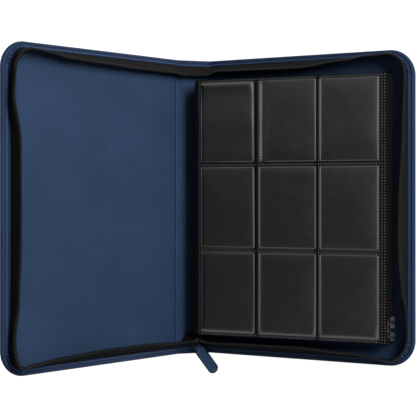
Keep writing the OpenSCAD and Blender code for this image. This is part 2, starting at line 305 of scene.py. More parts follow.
def widened(d, s):
    """Distances in from the edge, as drawn, moved to where they lie in the border at path length s: it is wider
    along the covers' free edges than along the top and the bottom, and changes round the corners."""
    d, s = np.broadcast_arrays(d, s)
    back = smooth((s - MARKS[1]) / ARC) * smooth((MARKS[4] - s) / ARC)
    front = smooth((s - MARKS[5]) / ARC) * smooth((MARKS[8] - s) / ARC)
    low = smooth((MARKS[1] + 10 - s) / 40) + smooth((s - MARKS[8] + 10) / 40)     # a little wider along the bottom
    ends = np.interp(d, DRAWN, AT_ENDS) + 0.8 * low * (d - ROLL_R) / (DRAWN_BORDER - ROLL_R)
    lies = (1 - back - front) * ends + back * np.interp(d, DRAWN, AT_BACK) + front * np.interp(d, DRAWN, AT_FRONT)
    return np.where(d > ROLL_R, lies, d)


BACK_T, FRONT_T = 6.0, -SPINE_W - 6.0     # where the covers' own skins meet the pieces that bend
BACK_LEG = (at_t(BACK_T, "bottom"), at_t(BACK_T, "top"))
FRONT_LEG = (at_t(FRONT_T, "top"), at_t(FRONT_T, "bottom"))


# ---- materials
def srgb(r, g, b):
    return tuple((c / 255 / 12.92 if c / 255 <= 0.04045 else ((c / 255 + 0.055) / 1.055) ** 2.4)
                 for c in (r, g, b)) + (1.0,)


def tint(c, f):
    return tuple(min(1.0, v * f) for v in c[:3]) + (1.0,)


class Nodes:
    """Short calls for the nodes of a material or the world."""

    def __init__(self, owner):
        owner.use_nodes = True
        self.tree = owner.node_tree

    def node(self, kind, inputs, **settings):
        """A node with its inputs linked or set by name or number."""
        n = self.tree.nodes.new("ShaderNode" + kind)
        for k, v in settings.items():
            setattr(n, k, v)
        for k, v in inputs.items():
            if isinstance(v, bpy.types.NodeSocket):
                self.tree.links.new(v, n.inputs[k])
            else:
                n.inputs[k].default_value = v
        return n

    def first(self, kind, inputs, **settings):
        return self.node(kind, inputs, **settings).outputs[0]

    def coords(self, kind="Object"):
        return self.node("TexCoord", {}).outputs[kind]

    def math(self, operation, a, b=0.0, c=0.0):
        return self.first("Math", {0: a, 1: b, 2: c}, operation=operation)

    def times(self, a, b):
        return self.math("MULTIPLY", a, b)

    def plus(self, a, b):
        return self.math("ADD", a, b)

    def either(self, a, b):
        return self.math("MAXIMUM", a, b)

    def wave(self, value, period):
        return self.math("SINE", self.times(value, 2 * math.pi / period))

    def noise(self, scale, detail, vector=None, roughness=0.55):
        return self.first("TexNoise", {"Vector": vector or self.coords(), "Scale": scale, "Detail": detail,
                                       "Roughness": roughness})

    def ramp(self, value, stops):
        """Stops are (position, colour) or (position, grey)."""
        n = self.node("ValToRGB", {"Fac": value})
        elements = n.color_ramp.elements
        while len(elements) < len(stops):
            elements.new(0.5)
        for element, (position, c) in zip(elements, stops):
            element.position, element.color = position, c if isinstance(c, tuple) else (c, c, c, 1)
        return n.outputs[0]

    def mix(self, factor, a, b, blend="MIX"):
        return self.node("Mix", {0: factor, 6: a, 7: b}, data_type="RGBA", blend_type=blend).outputs[2]

    def bump(self, height, distance, strength, **normal):
        return self.first("Bump", {"Height": height, "Distance": distance, "Strength": strength, **normal})


class Shader(Nodes):
    """A Principled material."""

    def __init__(self, name, roughness, specular, metallic=0.0):
        self.material = bpy.data.materials.new(name)
        super().__init__(self.material)
        self.bsdf = self.tree.nodes["Principled BSDF"]
        for socket, v in (("Roughness", roughness), ("Specular IOR Level", specular), ("Metallic", metallic)):
            self.bsdf.inputs[socket].default_value = v

    def made(self, colour, normal, roughness=None):
        for socket, v in (("Base Color", colour), ("Normal", normal), ("Roughness", roughness)):
            if v is not None:
                self.tree.links.new(v, self.bsdf.inputs[socket])
        return self.material


def leather(name, base, roughness=0.5, grain=0.00075, depth=0.00009, specular=0.35, mottle=0.12):
    """Embossed polyurethane leather: pebbled grain with painted shade in its creases, and a faint cloudy colour."""
    m = Shader(name, roughness, specular)
    where = m.coords()
    warp = m.node("TexNoise", {"Vector": where, "Scale": 0.35 / grain, "Detail": 2.0}).outputs[1]
    warped = m.first("MixRGB", {"Fac": 0.0012, "Color1": where, "Color2": warp})
    cells = m.first("TexVoronoi", {"Vector": warped, "Scale": 1 / grain}, feature="DISTANCE_TO_EDGE")
    pebble = m.math("SMOOTH_MIN", cells, 0.32, 0.2)
    fine = m.noise(1.8 / grain, 2.0, where)
    cloud = m.noise(14.0, 4.0, where, 0.6)
    patch = m.noise(150.0, 3.0, where, 0.6)
    shade = m.mix(m.ramp(cloud, [(0.3, 0), (0.72, 1)]), tint(base, 1 - mottle), tint(base, 1 + mottle))
    shade = m.mix(m.times(patch, 0.3), shade, tint(base, 1 - 1.6 * mottle))
    # painted shade: the colour darkens down in the grain's creases
    crease = m.ramp(pebble, [(0.0, 0.78), (0.2, 1)])
    return m.made(m.mix(1.0, shade, crease, "MULTIPLY"),
                  m.bump(m.plus(m.times(pebble, 2.2), m.times(fine, 0.35)), depth, 0.9),
                  m.plus(m.times(patch, 0.16), roughness - 0.08))


def woven(name, base, pitch=0.55, specular=0.25):
    """Zipper tape: a fine herringbone twill along the tape with a few heavier warp lines."""
    m = Shader(name, 0.85, specular)
    along, across, _ = m.node("SeparateXYZ", {0: m.coords("UV")}).outputs
    lanes = m.math("PINGPONG", m.math("DIVIDE", across, 2.4), 1.0)
    twill = m.wave(m.plus(m.math("DIVIDE", along, pitch), m.times(lanes, 3.2)), 1)
    height = m.plus(m.times(twill, 0.6), m.times(m.wave(across, 0.42), 0.4))
    height = m.plus(height, m.times(m.noise(2600.0, 2.0), 0.8))
    # painted shade and highlight: the weave is darker in its dips and lighter on its raised threads
    tone = m.ramp(m.math("MULTIPLY_ADD", height, 0.25, 0.4), [(0.0, tint(base, 0.55)), (1.0, tint(base, 1.35))])
    # the weave is closer and paler beside the coil, and two heavier dark lines run along it
    bands = m.ramp(m.math("DIVIDE", across, 16.0),
                   [(at, tint(base, f)) for at, f in ((0.0, 1.0), (0.07, 1.05), (0.12, 0.5), (0.17, 1.1), (0.6, 1.15),
                                                      (0.64, 0.6), (0.68, 1.7), (1.0, 1.8))])
    dust = m.times(m.noise(60.0, 4.0), 0.25)
    return m.made(m.mix(dust, m.mix(0.55, tone, bands), tint(base, 1.7)), m.bump(height, 0.00007, 0.8))


def film(name, base, roughness, specular, knot_glint=None):
    """Black polypropylene film, softly wavy. Where it is welded, it has a fine dotted emboss, with a painted glint: a
    pale colour on the knots' tops.
    """
    m = Shader(name, roughness, specular)
    where = m.coords("UV")
    waves = m.bump(m.noise(0.045, 3.0, where, 0.5), 0.0004, 0.6)
    dark, pale = (0.6, 1.2) if knot_glint else (0.7, 1.4)
    tone = m.mix(m.noise(0.02, 3.0, where), tint(base, dark), tint(base, pale))
    if knot_glint:
        x, y, _ = m.node("SeparateXYZ", {0: where}).outputs
        knots = m.times(*(m.math("MULTIPLY_ADD", m.wave(v, pitch), 0.5, 0.5) for v, pitch in ((x, 3.1), (y, 3.2))))
        # painted glint: the knots' tops take the pale colour
        return m.made(m.mix(m.math("POWER", knots, 4.0), tone, knot_glint), m.bump(knots, 0.00022, 1.0, Normal=waves))
    return m.made(tone, m.bump(m.noise(1.3, 2.0, where), 0.00001, 0.5, Normal=waves),
                  m.math("MULTIPLY_ADD", m.noise(0.08, 4.0, where), 0.14, roughness - 0.07))


def painted_metal(name, base, roughness):
    m = Shader(name, roughness, 0.5, metallic=0.85)
    wear = m.noise(380.0, 4.0)
    return m.made(m.ramp(wear, [(0.35, tint(base, 0.8)), (0.75, tint(base, 1.5))]),
                  m.bump(m.noise(1400.0, 2.0), 0.00003, 0.4),
                  m.math("MULTIPLY_ADD", wear, 0.25, roughness - 0.1))


def plastic(name, base, roughness):
    m = Shader(name, roughness, 0.4)
    n = m.noise(900.0, 3.0)
    return m.made(m.ramp(n, [(0.3, tint(base, 0.8)), (0.8, tint(base, 1.3))]), m.bump(n, 0.00002, 0.5))


skin_look = leather("navy_leather", srgb(40, 57, 86), roughness=0.44, specular=0.12)
# a lighter copy of the leather for the border's ridges: a painted highlight
ridge_highlight_look = leather("ridge_highlight_leather", srgb(62, 82, 114), roughness=0.4, specular=0.2)
lining_look = leather("lining_leather", srgb(49, 67, 95), roughness=0.55, grain=0.0006, depth=0.00005,
                      specular=0.06, mottle=0.16)
# a darker leather for the lining seam's groove: painted shade
groove_shade_look = leather("seam_groove_shade", srgb(22, 33, 54), roughness=0.6, grain=0.0006, specular=0.04)
thread_look = leather("navy_thread", srgb(54, 74, 108), roughness=0.6, grain=0.0004)
tab_look = leather("tab_leather", srgb(54, 77, 113), roughness=0.5, specular=0.12)
pale_look = leather("pale_thread", srgb(112, 134, 168), roughness=0.5, grain=0.0004)
tape_look = woven("black_tape", srgb(26, 26, 25), specular=0.08)
coil_look = plastic("black_nylon", srgb(26, 26, 27), 0.38)
pocket_look = film("pocket_film", srgb(11, 11, 12), 0.17, 0.9)
# the welds' knots get a pale painted glint
weld_look = film("weld_film", srgb(8, 8, 9), 0.32, 0.12, srgb(126, 126, 127))
# near-black matte film for the channels between pocket columns: painted shade
seam_shade_look = film("seam_shade_film", srgb(7, 7, 7), 0.5, 0.05)
binding_look = film("binding_film", srgb(10, 10, 11), 0.32, 0.22)
# dark edge paint for the tab, also laid over its stitched groove as painted shade
edge_paint_and_shade_look = plastic("tab_edge_paint_and_shade", srgb(9, 13, 22), 0.6)
metal_look = painted_metal("black_metal", srgb(44, 44, 46), 0.32)
board_look = plastic("grey_board", srgb(150, 145, 136), 0.9)
cloth_look = woven("binding_cloth", srgb(22, 22, 23), pitch=0.7)

# ---- covers' skin
# outer line of the skin's section, from the turned-in border's inner edge round the roll to the underside:
# (distance in from the edge, height above the rim), then the roll
BORDER = [(7.5, -0.75), (7.4, -0.42), (7.1, -0.26), (6.8, -0.3), (6.55, 0), (6.2, 0.16), (5.8, 0.1), (5.3, -0.24),
          (4.8, -0.74), (4.35, -0.88), (3.95, -0.72), (3.5, -0.26), (3.0, 0.08), (2.6, 0.14)]
GROOVE_D, GROOVE_Z = 4.35, RIM_T - 0.72            # where the border's stitches lie


def skin_lines(*more):
    """Outer and inner line of the skin's section, with more points of the underside."""
    roll = [ROLL_R + ROLL_R * np.array([math.cos(a), math.sin(a)]) for a in np.radians(np.arange(90, 271, 15))]
    outer = np.array([(d, RIM_T + z) for d, z in BORDER] + roll + list(more))
    along = unit(np.gradient(outer, axis=0))
    inner = outer + SKIN_T * grid(-along[:, 1], along[:, 0])
    inner[0], inner[-1] = (DRAWN_BORDER, RIM_T - SKIN_T), (outer[-1][0], SKIN_T)
    return outer, inner


def pleats(s, d):
    """Small radial gathers of the border round a corner, where the skin's spare width is folded in."""
    leg = np.clip(np.searchsorted(MARKS, s) - 1, 0, 8)
    q = (s - MARKS[leg]) / ARC
    corner = (leg % 2 == 1) * smooth(q / 0.12) * smooth((1 - q) / 0.12)
    turn = 10 * q + 0.16 * np.sin(17 * q) + 0.12 * np.sin(31 * q + 1.0)
    return -corner * (1.7 * bell(turn, np.round(turn), 0.2) - 1.1) * smooth((d - 3.6) / 1.2)


def ridge_slots(d, z, n):
    """Material slot of each face of a swept skin: 1 along the section's ridges, which get a lighter leather as a
    painted highlight.
    """
    on = (z > RIM_T - 0.06) & (abs(d) > ROLL_R - 0.2)
    return np.tile(on & np.roll(on, -1), n)


def cover_skin(name, start, end):
    """One cover's skin: its border, roll and underside along the path, and the wide flat outside as one face."""
    outer, inner = skin_lines((12, 0.0), (20, 0.0))
    profile = np.concatenate([outer[::-1], inner])   # from the underside round to the inside, both at 20 in
    s = stations(start, end, fine=0.42, coarse=8.0)
    p, n = station(s)
    m = len(profile)
    d, z = profile.T[:, None]
    lies = np.where(z > ROLL_R - 1e-6, widened(d, s[:, None]), d)
    t, y = np.moveaxis(p[:, None] + n[:, None] * lies[..., None], -1, 0)
    pts = grid(t, y, z + np.where(z > RIM_T - 0.75, pleats(s[:, None], d), 0))
    last = (len(s) - 1) * m
    faces = ring_faces(len(s), m, closed=False)
    faces += [tuple(range(0, last + 1, m)), tuple(range(last + m - 1, 0, -m)), (0, m - 1, last + m - 1, last)]
    ob = make(name, place(pts), faces, [skin_look, ridge_highlight_look])
    # the ridges take the lighter leather: a painted highlight
    paint(ob, ridge_slots(*profile.T, len(s) - 1).reshape(-1, m)[:, :-1].ravel())
    return ob


def spine_skin(name, t_from, t_to):
    """The outer skin's part that bends over one hinge: from a cover to the middle of the spine."""
    ts = np.append(np.arange(t_from, t_to + 0.4, -0.75), t_to)[:, None]
    across = np.linspace(ROLL_R - HALF_H, HALF_H - ROLL_R, 26)[1:-1]
    lines = []
    for line, floor in zip(skin_lines(), (0.0, SKIN_T)):
        d, z = line.T
        d = np.where(z > ROLL_R, widened(d, 0.0), d)
        lines.append(np.array([np.concatenate([HALF_H - d, across[::-1], d[::-1] - HALF_H]),
                               np.concatenate([z, np.full(len(across), floor), z[::-1]])]))
    y, h = np.concatenate([lines[0], lines[1][:, ::-1]], 1)
    near = np.minimum(abs(ts), abs(ts + SPINE_W))
    dip = 0.85 * bell(near, 2.3, 1.1) + 0.35 * bell(near, 0, 0.9)
    share = np.clip((h - SKIN_T) / (RIM_T - SKIN_T), 0, 1)
    bow = np.clip(arch(-ts / SPINE_W), 0, 1)
    low = 1 - np.clip(h / 2.0, 0, 1)
    pts = grid(ts, y, h - dip * share - bow * low * smooth((HALF_H - 4 - abs(y)) / 12))
    ob = make(name, place(pts), ring_faces(len(ts), len(y)), [skin_look, ridge_highlight_look])
    # the ridges take the lighter leather: a painted highlight
    paint(ob, ridge_slots(HALF_H - abs(y), h, len(ts) - 1))
    return ob


def border_stitches(name, start, end):
    count = int((end - start) / STITCH_PITCH)
    s = start + (end - start - count * STITCH_PITCH) / 2 + STITCH_PITCH * (np.arange(count) + 0.5)
    ends = []
    for q in (s - STITCH / 2, s + STITCH / 2):
        p, n = station(q)
        ends.append(np.column_stack([p + n * widened(GROOVE_D, q)[:, None], np.full(count, GROOVE_Z)]))
    parts = Parts()
    parts.add_stitches(*ends, 0.36)
    return parts.make(name, [thread_look], place)


for side, leg, t_from, t_to, spine_legs in (
        ("back", BACK_LEG, BACK_T, MID, {"top": (BACK_LEG[1], TOP_MID), "bottom": (0.0, BACK_LEG[0])}),
        ("front", FRONT_LEG, MID, FRONT_T, {"top": (TOP_MID, FRONT_LEG[0]), "bottom": (FRONT_LEG[1], TOTAL)})):
    attach(cover_skin(f"{side}_cover_skin", *leg), "leather_skin", f"{side}_cover", nodes=[f"{side}_outer_skin"])
    attach(border_stitches(f"{side}_border_stitches", *leg), "leather_skin", f"{side}_cover")
    attach(spine_skin(f"spine_skin_{side}_half", t_from, t_to), "leather_skin", *SIDES[side],
           nodes=["spine_outer_skin"])
    for edge, ends in spine_legs.items():
        attach(border_stitches(f"spine_{edge}_stitches_{side}_half", *ends), "leather_skin", *SIDES[side], h=RIM_T)

# ---- linings
SEAM = [(0, -0.5), (0.2, 0.0), (0.6, 0.3), (1.1, 0.34), (1.6, 0.1), (2.0, -0.4), (2.4, -0.6), (2.9, -0.45),
        (3.5, 0.0), (4.4, 0.14), (6.0, 0.1), (9.0, 0.0)]   # (distance from the panel's sewn edge, height)
SEAM_T = -SPINE_W - 2.8
LINING_TOP, LINING_LOW = PANEL_T - 0.02, PANEL_T - LINING_T
LINING_INSET = END_BORDER - 0.4


def lining_panel(name, t_from, t_to, sewn=False):
    """One cover's lining: a flat sheet from t_from near the hinge up to the border on three sides. A sewn edge is
    turned under and stitched down over the strip beside it."""
    side = 1 if t_to > t_from else -1
    r = CORNER_R - LINING_INSET
    flat = t_to - side * CORNER_R
    near = [d for d, _ in SEAM] if sewn else [0]
    us = np.concatenate([t_from + side * np.array(near[:-1]), np.linspace(t_from + side * near[-1], flat, 30),
                         flat + side * r * np.sin(np.linspace(0, math.pi / 2, 14)[1:])])
    ys = np.linspace(-1, 1, 325 if sewn else 41)
    over = np.clip((us - flat) * side / r, 0, 1)
    half = HALF_H - CORNER_R + r * np.sqrt(np.maximum(0, 1 - over ** 2))
    off = abs(us - t_from)[:, None]
    y = half[:, None] * ys
    high = LINING_TOP + 0 * y
    if sewn:                                            # the stitches pucker the panel beside the seam
        pucker = 0.4 * np.clip(np.cos(2 * math.pi * y / STITCH_PITCH), 0, 1) ** 2
        high = high + np.interp(off, *zip(*SEAM)) - bell(off, 4.6, 1.9) * pucker
    pts = grid(us[:, None], y, [high, np.full_like(high, LINING_LOW)])
    ob = make(name, place(pts), sheet_faces(*y.shape), [lining_look, groove_shade_look, ridge_highlight_look])
    if sewn:                                            # the seam's groove gets a darker leather as painted shade, and the fold beside it a lighter one as a painted highlight
        middle = abs(us[1:] + us[:-1] - 2 * t_from) / 2
        slots = np.repeat(np.where(middle < 1.5, 2, np.where(middle < 3.2, 1, 0)), 2 * (len(ys) - 1))
        slots[1::2] = 0
        paint(ob, slots)
    return ob


def lining_strip(name, t_from, t_to, count=40):
    """The lining's part that bends over one hinge."""
    ts = np.linspace(t_from, t_to, count)[:, None]
    ys = np.linspace(LINING_INSET - HALF_H, HALF_H - LINING_INSET, count)
    pts = grid(ts, np.concatenate([ys, ys[::-1]]), np.repeat([LINING_TOP, LINING_LOW], count))
    return make(name, place(pts), ring_faces(count, 2 * count), [lining_look])


attach(lining_panel("back_cover_lining", BACK_T, COVER_W), "leather_lining", "back_cover", nodes=["back_lining"])
attach(lining_panel("front_cover_lining", SEAM_T, FRONT_END, sewn=True), "leather_lining", "front_cover",
       nodes=["front_lining"])
for side, t_from, t_to in (("back", BACK_T, MID), ("front", MID, SEAM_T)):
    attach(lining_strip(f"spine_lining_{side}_half", t_from, t_to), "leather_lining", *SIDES[side],
           nodes=["spine_lining"], reach=2.8, h=PANEL_T)
parts = Parts()
row = np.arange(-HALF_H + END_BORDER + 2.5, HALF_H - END_BORDER - 4, STITCH_PITCH)
line = grid(SEAM_T - 2.6, row, PANEL_T - 0.34)
parts.add_stitches(line, line + [0, STITCH, 0], 0.3)
attach(parts.make("lining_seam_stitches", [thread_look], place), "leather_lining", "front_cover")

# ---- zipper tapes
# (path length from the origin, lean at the foot, lean at the coil): 0 lies flat towards the inside, 90 stands up
LEAN = [(origin + at, foot, tip) for origin, keys in (
    (0, [(0, 66, 62), (35, 66, 60), (79, 62, 56), (135, 61, 56), (195, 72, 69)]),
    (MARKS[1], [(22, 97, 99)]),
    (MARKS[2], [(11, 108, 112), (33, 103, 106), (55, 85, 85), (85, 73, 71), (114, 69, 66), (152, 73, 70)]),
    (MARKS[3], [(-60, 88, 90), (22, 98, 101)]),
    (at_t(0, "top"), [(-199, 92, 92), (-176, 80, 78), (-116, 58, 50), (-53, 60, 54), (-18, 62, 58), (2, 44, 40),
                      (19, 37, 33), (36, 39, 35), (52, 46, 43), (113, 48, 42), (158, 56, 48), (213, 64, 56),
                      (228, 76, 69)]),
    (MARKS[5], [(0, 84, 82), (22, 90, 91)]),
    (MARKS[6], [(0, 103, 107), (26, 109, 114), (78, 83, 81), (134, 81, 79), (190, 83, 82), (236, 91, 91)]),
    (MARKS[7], [(-12, 106, 110), (22, 101, 102)]),
    (MARKS[8], [(2, 72, 68), (44, 61, 55), (100, 52, 44), (160, 52, 44)]),
    (TOTAL, [(-35, 60, 54), (0, 60, 56)])) for at, foot, tip in keys]
STAND = 14.2                     # length of the standing part, foot to coil
TAPE_STEPS = 12
ACROSS = np.concatenate([[-2.6, -1.2, -0.4], np.linspace(0, STAND, TAPE_STEPS)])    # sewn under, then standing
DRAW_IN = 33.0                   # length over which the tape draws in to the slider


def tape_line(s):
    """Centre line of the tape's section at each path length, as (t, y, h) points: foot under the border, then the
    standing part."""
    p, n = station(s)
    foot, tip = np.radians(keyed(LEAN, s))[..., None]
    a = foot + (tip - foot) * np.linspace(0, 1, TAPE_STEPS)
    a = (a[:, 1:] + a[:, :-1]) / 2
    start = np.zeros((len(s), 1))
    run, climb = (np.hstack([start, np.cumsum(f(a) * STAND / (TAPE_STEPS - 1), 1)]) for f in (np.cos, np.sin))
    edge = widened(DRAWN_BORDER, s)[:, None]
    d = np.hstack([edge - [[2.3, 0.9, 0.1]], edge + 0.45 + run])
    h = np.hstack([start + [[PANEL_T - 0.32, PANEL_T - 0.3, PANEL_T - 0.12]], PANEL_T + 0.35 + climb])
    pts = np.concatenate([p[:, None] + n[:, None] * d[..., None], h[..., None]], -1)
    # near the slider the foot runs in over the spine's lining, out to a corner and back to the chain, and the coil
    # rises to the slider's mouth
    g = ACROSS[None] / STAND
    for end, side in ((0.0, 1), (TOTAL, -1)):
        reach = abs(s - end)[:, None]
        goal = grid(MID + side * (1.5 + 2.2 * g), CHAIN_INSET - HALF_H, PANEL_T + 0.2 + 18.2 * g)
        pts += (goal - pts) * smooth(1 - reach / DRAW_IN)[..., None] ** 1.35
        pts[..., 2] += 3.0 * arch(1 - reach / DRAW_IN) * np.maximum(g, 0)
        foot = np.clip(1 - g / 0.9, 0, 1) * (reach < DRAW_IN)
        inset = np.interp(reach, [0, 8.5, 16, 21], [CHAIN_INSET, 27.5, 14.5, END_BORDER + 0.45])
        pts[..., 1] += np.maximum(inset - (pts[..., 1] + HALF_H), 0) * foot * smooth(reach / 6)
        pts[..., 0] += (MID + side * reach * 0.97 - pts[..., 0]) * foot * (reach < 21) * smooth(reach / 5)
    return pts


def tape(name, start, end, thick=0.5):
    s = stations(start, end, fine=1.5, coarse=2.0)
    line = tape_line(s)
    normal = unit(np.cross(np.gradient(line, axis=0), np.gradient(line, axis=1))) * thick / 2
    ring = np.concatenate([line + normal, (line - normal)[:, ::-1]], 1)
    uv = grid(s[:, None], np.concatenate([ACROSS, ACROSS[::-1]]))
    return make(name, place(ring), ring_faces(*ring.shape[:2]), [tape_look], uv=uv, sharp=50)


def coil(name, start, end, segments=10, sides=5):
    """The nylon coil sewn along the tape's edge: one flattened helix."""
    k = np.arange(int((end - start) / COIL_PITCH) * segments + 1)
    line = place(tape_line(start + (end - start) * k / k[-1])) / MM
    edge = line[:, -1]
    along = unit(np.gradient(edge, axis=0))
    up = square(edge - line[:, -3], along)
    a = (2 * math.pi * k / segments)[:, None]
    helix = edge + up * (COIL_R * 0.9 * np.cos(a) - 0.2) + np.cross(along, up) * COIL_R * np.sin(a)
    tangent = unit(np.gradient(helix, axis=0))
    out = square(helix - edge, tangent)
    w = (2 * math.pi * np.arange(sides) / sides)[:, None]
    wire = COIL_WIRE_R * (out[:, None] * np.cos(w) + np.cross(tangent, out)[:, None] * np.sin(w))
    return make(name, (helix[:, None] + wire) * MM, ring_faces(len(k), sides), [coil_look], sharp=180)


CROSS = 17.0                     # the pieces that bend end this far from the hinges
low_back, top_back = at_t(CROSS, "bottom"), at_t(CROSS, "top")
top_front, low_front = at_t(-SPINE_W - CROSS, "top"), at_t(-SPINE_W - CROSS, "bottom")
for name, start, end, bodies, tape_nodes, coil_nodes in (
        ("back_tape", low_back, top_back, ["back_cover"], ["back_zipper_tape"], ["back_zipper_coil"]),
        ("front_tape", top_front, low_front, ["front_cover"], ["front_zipper_tape"], ["front_zipper_coil"]),
        ("top_tape_back_half", top_back, TOP_MID, SIDES["back"], ["spine_top_tape"], []),
        ("top_tape_front_half", TOP_MID, top_front, SIDES["front"], ["spine_top_tape"], []),
        ("lower_tape_back_half", 0.0, low_back, SIDES["back"], ["spine_bottom_gusset"], []),
        ("lower_tape_front_half", low_front, TOTAL, SIDES["front"], ["spine_bottom_gusset"], [])):
    ribbon = tape(name, start, end)
    attach(ribbon, "woven_tape", *bodies, nodes=tape_nodes, reach=15.0, h=PANEL_T)
    attach(coil(name.replace("tape", "coil"), start, end), "nylon_coil", *bodies, nodes=coil_nodes, reach=15.0,
           h=PANEL_T)

# ---- leaves
# widths over which a pocket's film rises at its left, right, lower and upper edge, by column and row from the bottom
EDGES = {(0, 2): (0.9, 1.3, 0.9, 4.0), (1, 2): (3.2, 1.4, 0.9, 0.9), (2, 2): (1.1, 1.0, 0.9, 0.9),
         (0, 1): (1.0, 1.2, 0.8, 0.9), (1, 1): (1.0, 1.3, 1.0, 0.9), (2, 1): (1.1, 1.0, 1.0, 0.9),
         (0, 0): (1.6, 1.2, 3.0, 0.9), (1, 0): (1.2, 1.3, 2.2, 0.9), (2, 0): (1.1, 1.0, 3.2, 0.9)}
LOWER_EDGES = (1.2, 1.5, 1.7, 1.7)    # the same on the leaves below the first
SET_IN = (2.0, 0.5, 0.7)          # how far a column's film stays flat inside its right weld
LIP = 0.3                         # how far a pocket's open edge stands above the film behind it, as a share
FIRST_CREASE_X, CREASE_STAGGER, CREASE_STEP, FREE_STEP = 3.02, 0.28, 1.6, 0.6
LAST_CREASE_Z, LAST_FREE_Z = PANEL_T + 0.5 + 0.04 + 1.2, PANEL_T + LEAF_T / 2 + 0.3


def leaf_lines(first, size, gap, tail, fine):
    """Grid lines across a leaf: close together at each of three pockets' edges."""
    lines = list(tail)
    for k in range(3):
        a = first + k * (size + gap)
        lines += [a - 0.04, a + size / 2] + [a + f for f in fine] + [a + size - f for f in fine]
        if k < 2:
            lines += [a + size + gap / 3, a + size + 2 * gap / 3]
    return sorted({round(v, 4) for v in lines})


def crease_x(i):
    return FIRST_CREASE_X + CREASE_STAGGER * (i - 1)


def on_leaf(i, x, y, z, out=0.0):
    """Points of leaf i in the row frame: x from its crease, stretched by out, and z above its middle."""
    crease_z = LAST_CREASE_Z + (LEAF_COUNT - i) * CREASE_STEP
    free_z = LAST_FREE_Z + (LEAF_COUNT - i) * FREE_STEP
    slope = math.asin((crease_z - free_z) / LEAF_L)
    sin, cos = math.sin(slope), math.cos(slope)
    return grid(HINGE_X + crease_x(i) + (x + out) * cos + z * sin, y, crease_z - x * sin + z * cos) * MM


def pockets(i, gx, gy):
    """How far the film of leaf i rises at each point, as a share, and whether the point is inside a pocket."""
    rng = np.random.default_rng(40 + i)
    rise, inside = np.zeros_like(gx), np.zeros_like(gx, bool)
    for c in range(3):
        for r in range(3):
            dx0, dy0 = gx - (CREASE_MARGIN + c * COLUMN), gy - (END_MARGIN - LEAF_H / 2 + r * ROW)
            dx1, dy1 = POCKET_W - dx0, POCKET_H - dy0
            nearest = np.min([dx0, dx1, dy0, dy1], axis=0)
            on = nearest >= -1e-6
            inside |= nearest > 1e-6
            left, right, low, top = EDGES[c, r] if i == 1 else LOWER_EDGES
            if i == 1:
                dx1 = dx1 - SET_IN[c] * (1 + 0.5 * np.sin(2.6 * gy / LEAF_H - 2.2 * c))
            g = np.ones_like(gx)
            for d, w in ((dx1, right), (dy0, low), (dy1, top)):
                d = np.maximum(d, 0)
                g *= 0.5 * (1 - bell(d, 0, 0.5 * w)) + 0.5 * (1 - np.exp(-d / (4 * w)))
            # behind its open left edge the film dips; a wide dip widens further up
            behind = left if left < 2 else np.where(dx0 < 1.4 * left, left, (1.5 + smooth((dy0 - 20) / 45)) * left)
            depth, lip = 0.95 if left >= 2 else 0.45 if c else 0.16, LIP if c else 0.45 * LIP
            g *= 1 - depth * bell(dx0, 1.4 * left, behind) + lip * bell(dx0, 0, 0.7 * left)
            a, b, e = rng.uniform(0, 6.28, 3)
            swell = 1 + 0.16 * np.sin(dx0 / 11 + a) * np.sin(dy0 / 17 + b) + 0.1 * np.sin(dy0 / 9 + e)
            bow = 0.5 * arch(dx0 / POCKET_W) * arch(dy0 / POCKET_H)
            teeth = 0.3 * np.sin(2 * math.pi * gy / 3.2) * bell(dx0, 1.2, 1.6) if left > 2 else 0
            puff = sum(rise_by * d / 4.0 * np.exp(1 - d / 4.0)
                       for rise_by, d, w in ((0.95, dy1, top), (0.5, dy0, low)) if w > 2)
            rise = np.where(on, g * (swell + bow + teeth) + puff * smooth(dx0 / 4) * smooth(dx1 / 4), rise)
    return rise, inside


